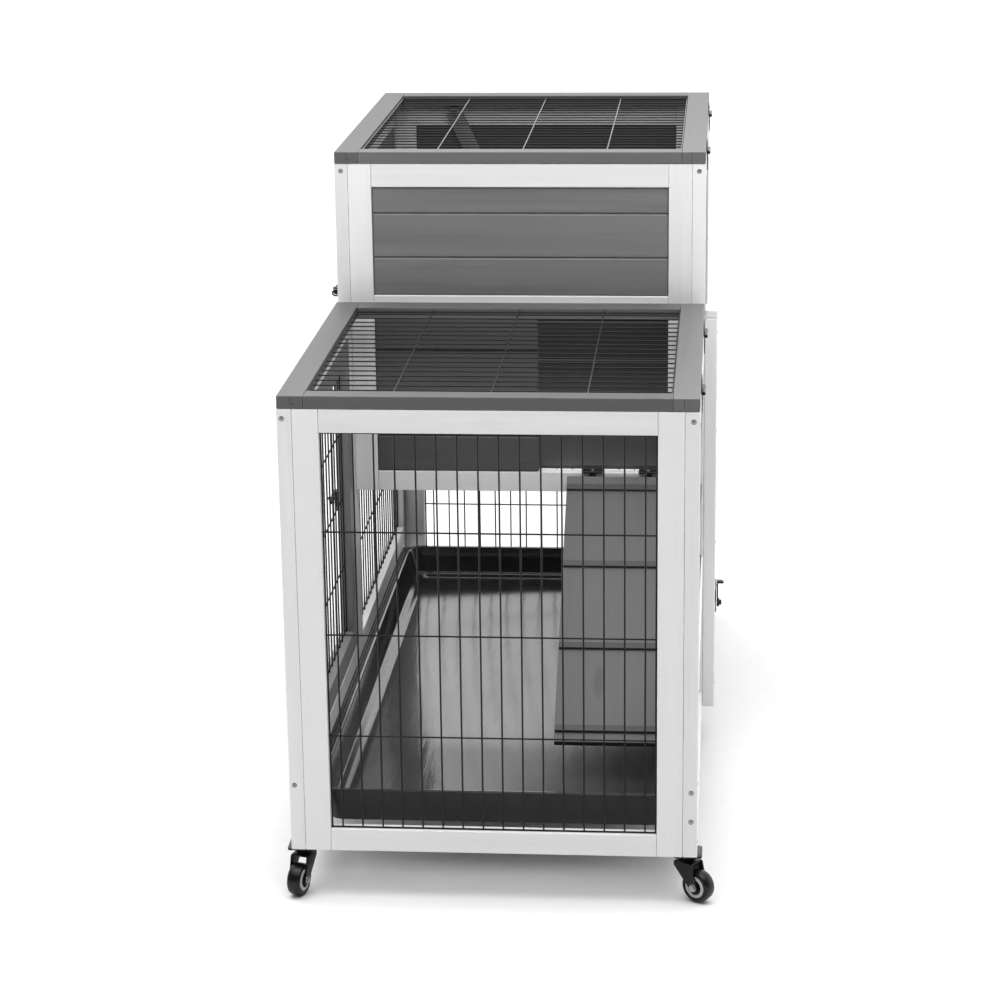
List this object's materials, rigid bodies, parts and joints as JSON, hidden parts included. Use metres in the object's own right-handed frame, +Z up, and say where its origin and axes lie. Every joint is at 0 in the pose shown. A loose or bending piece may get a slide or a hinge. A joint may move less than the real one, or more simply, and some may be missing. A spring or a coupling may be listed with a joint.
{
  "type": "rabbit hutch with wire run",
  "caption": "Rolling wooden small-animal hutch: a wire-lidded run joined to a taller two-storey house, with a ramp, pull-out tray and swivel casters.",
  "frame": {"origin": "on the ground, under the middle of the overall box", "axes": "+Z up, +Y from the run's near end to the house's far end, -X the front with the doors and tray pull, +X the back with the lid hinges"},
  "size_m": [0.5588, 1.1559, 0.848],
  "materials": {
    "white_wood": "painted white, matt",
    "slate_wood": "painted mid grey, matt",
    "grey_wood": "painted grey, matt",
    "wire": "black coated welded wire",
    "black_steel": "black lacquered pressed steel",
    "tray_plastic": "dark grey moulded, satin gloss",
    "wheel_rubber": "black tread on a grey hub"
  },
  "bodies": {
    "hutch": {"near_end_frame": "white_wood", "near_end_mesh": "wire", "far_end_frame": "white_wood", "far_end_mesh": "wire", "far_end_planks": "grey_wood", "house_end_frame": "white_wood", "house_end_planks": "slate_wood", "stair_wall_planks": "grey_wood", "run_front_frame": "white_wood", "house_front_frame": "white_wood", "house_front_mesh": "wire", "run_back_frame": "white_wood", "run_back_mesh": "wire", "run_back_board": "white_wood", "house_back_frame": "white_wood", "house_back_planks": "grey_wood", "seam_batten": "white_wood", "seam_batten_cap": "white_wood", "house_floor": "slate_wood", "front_base_rail": "white_wood", "tray_slat_near": "white_wood", "tray_slat_far": "white_wood", "run_lid_hinge_near": "black_steel", "run_lid_hinge_far": "black_steel", "house_lid_hinge_near": "black_steel", "house_lid_hinge_far": "black_steel", "ramp_hinge_left": "black_steel", "ramp_hinge_right": "black_steel", "access_latch_plate": "black_steel", "caster_plate_near_front": "black_steel", "caster_plate_near_back": "black_steel", "caster_plate_far_front": "black_steel", "caster_plate_far_back": "black_steel"},
    "run_lid": {"run_lid_frame": "grey_wood", "run_lid_mesh": "wire"},
    "house_lid": {"house_lid_frame": "grey_wood", "house_lid_mesh": "wire"},
    "run_door": {"run_door_frame": "grey_wood", "run_door_mesh": "wire", "run_door_bolt_guide": "black_steel"},
    "run_door_bolt": {"run_door_bolt": "black_steel"},
    "house_door": {"house_door_frame": "grey_wood", "house_door_planks": "slate_wood", "house_door_bolt_guide": "black_steel"},
    "house_door_bolt": {"house_door_bolt": "black_steel"},
    "access_door": {"access_door_frame": "grey_wood", "access_door_planks": "slate_wood", "access_door_catch": "black_steel"},
    "access_latch": {"access_latch_arm": "black_steel"},
    "tray": {"tray": "tray_plastic"},
    "ramp": {"ramp": "grey_wood"},
    "lid_prop": {"lid_prop": "grey_wood"},
    "caster_fork_near_front": {"caster_fork_near_front": "black_steel"},
    "caster_wheel_near_front": {"caster_wheel_near_front": "wheel_rubber"},
    "caster_fork_near_back": {"caster_fork_near_back": "black_steel"},
    "caster_wheel_near_back": {"caster_wheel_near_back": "wheel_rubber"},
    "caster_fork_far_front": {"caster_fork_far_front": "black_steel"},
    "caster_wheel_far_front": {"caster_wheel_far_front": "wheel_rubber"},
    "caster_fork_far_back": {"caster_fork_far_back": "black_steel"},
    "caster_wheel_far_back": {"caster_wheel_far_back": "wheel_rubber"}
  },
  "joints": [
    {"name": "run_lid_hinge", "type": "hinge", "parent": "hutch", "child": "run_lid", "pos_m": [0.2548, -0.2975, 0.628], "axis": [0, 1, 0], "range_deg": [0, 100]},
    {"name": "house_lid_hinge", "type": "hinge", "parent": "hutch", "child": "house_lid", "pos_m": [0.2548, 0.2725, 0.832], "axis": [0, 1, 0], "range_deg": [0, 100]},
    {"name": "run_door_hinge", "type": "hinge", "parent": "hutch", "child": "run_door", "pos_m": [-0.2548, -0.5295, 0.3755], "axis": [0, 0, 1], "range_deg": [0, 105]},
    {"name": "run_door_bolt_slide", "type": "slide", "parent": "run_door", "child": "run_door_bolt", "axis": [0, 1, 0], "range_m": [0, 0.011]},
    {"name": "house_door_hinge", "type": "hinge", "parent": "hutch", "child": "house_door", "pos_m": [-0.2548, 0.5295, 0.602], "axis": [0, 0, -1], "range_deg": [0, 105]},
    {"name": "house_door_bolt_slide", "type": "slide", "parent": "house_door", "child": "house_door_bolt", "axis": [0, -1, 0], "range_m": [0, 0.011]},
    {"name": "access_door_hinge", "type": "hinge", "parent": "hutch", "child": "access_door", "pos_m": [0.2548, 0.5295, 0.231], "axis": [0, 0, 1], "range_deg": [0, 105]},
    {"name": "access_latch_turn", "type": "hinge", "parent": "hutch", "child": "access_latch", "pos_m": [0.2717, 0.001, 0.207], "axis": [-1, 0, 0], "range_deg": [0, 90]},
    {"name": "tray_slide", "type": "slide", "parent": "hutch", "child": "tray", "axis": [-1, 0, 0], "range_m": [0, 0.4]},
    {"name": "ramp_hinge", "type": "hinge", "parent": "hutch", "child": "ramp", "pos_m": [0.133, -0.02, 0.401], "axis": [-1, 0, 0], "range_deg": [0, 65]},
    {"name": "lid_prop_pivot", "type": "hinge", "parent": "hutch", "child": "lid_prop", "pos_m": [-0.141, 0.5385, 0.8185], "axis": [0, -1, 0], "range_deg": [-26, 60]},
    {"name": "caster_swivel_near_front", "type": "hinge", "parent": "hutch", "child": "caster_fork_near_front", "pos_m": [-0.24, -0.5415, 0.0545], "axis": [0, 0, 1], "continuous": true},
    {"name": "caster_roll_near_front", "type": "hinge", "parent": "caster_fork_near_front", "child": "caster_wheel_near_front", "pos_m": [-0.24469, -0.55784, 0.0205], "axis": [0.9613, -0.2756, 0], "continuous": true},
    {"name": "caster_swivel_near_back", "type": "hinge", "parent": "hutch", "child": "caster_fork_near_back", "pos_m": [0.24, -0.5415, 0.0545], "axis": [0, 0, 1], "continuous": true},
    {"name": "caster_roll_near_back", "type": "hinge", "parent": "caster_fork_near_back", "child": "caster_wheel_near_back", "pos_m": [0.2536, -0.55171, 0.0205], "axis": [0.6004, 0.7997, 0], "continuous": true},
    {"name": "caster_swivel_far_front", "type": "hinge", "parent": "hutch", "child": "caster_fork_far_front", "pos_m": [-0.24, 0.5415, 0.0545], "axis": [0, 0, 1], "continuous": true},
    {"name": "caster_roll_far_front", "type": "hinge", "parent": "caster_fork_far_front", "child": "caster_wheel_far_front", "pos_m": [-0.25683, 0.54387, 0.0205], "axis": [-0.1392, -0.9903, 0], "continuous": true},
    {"name": "caster_swivel_far_back", "type": "hinge", "parent": "hutch", "child": "caster_fork_far_back", "pos_m": [0.24, 0.5415, 0.0545], "axis": [0, 0, 1], "continuous": true},
    {"name": "caster_roll_far_back", "type": "hinge", "parent": "caster_fork_far_back", "child": "caster_wheel_far_back", "pos_m": [0.247, 0.55699, 0.0205], "axis": [-0.9114, 0.4115, 0], "continuous": true}
  ]
}
